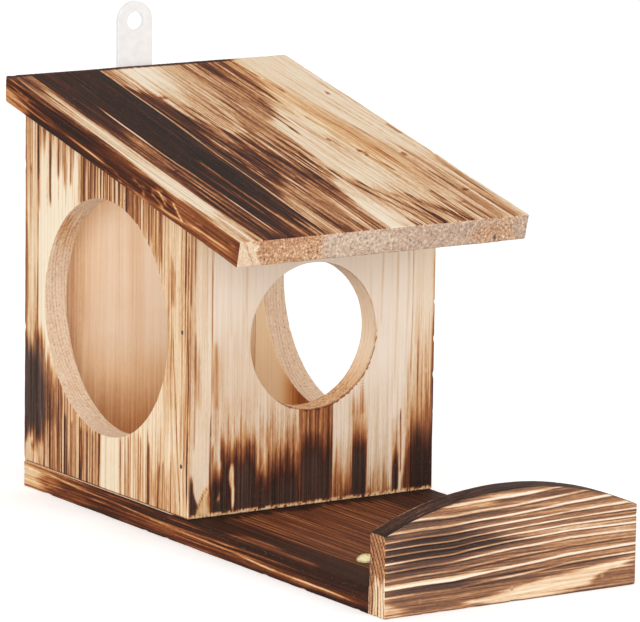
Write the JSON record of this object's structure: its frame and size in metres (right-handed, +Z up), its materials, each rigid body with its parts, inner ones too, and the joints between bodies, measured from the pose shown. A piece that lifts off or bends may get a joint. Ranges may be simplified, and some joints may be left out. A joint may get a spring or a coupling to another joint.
{
  "type": "squirrel feeder box",
  "caption": "Flamed softwood feeder with a lean-to shelter, round entrance, large side windows, open platform with an arched rail and a steel hanging strip.",
  "frame": {"origin": "middle of the underside of the base board and rail, in the plane that the feeder stands on", "axes": "+Z up, +Y from the arched rail to the back wall, +X to the right when the entrance is looked at"},
  "size_m": [0.151, 0.302, 0.2218],
  "materials": {
    "flamed_wood": "pale softwood scorched brown to black in streaks along the grain, brushed, matt",
    "zinc_steel": "bright zinc plate, satin",
    "yellow_zinc_steel": "pale yellow zinc plate, satin",
    "bright_steel": "bare drawn wire"
  },
  "bodies": {
    "root": {"base_board": "flamed_wood", "tray_rail": "flamed_wood", "left_wall": "flamed_wood", "right_wall": "flamed_wood", "front_wall": "flamed_wood", "back_wall": "flamed_wood", "roof_board": "flamed_wood", "hanger_plate": "zinc_steel", "hanger_screws": "zinc_steel", "platform_screw": "yellow_zinc_steel", "left_wall_brads": "bright_steel", "right_wall_brads": "bright_steel", "back_wall_brads": "bright_steel", "roof_brads": "bright_steel", "base_brads": "bright_steel", "rail_brads": "bright_steel"}
  },
  "joints": []
}
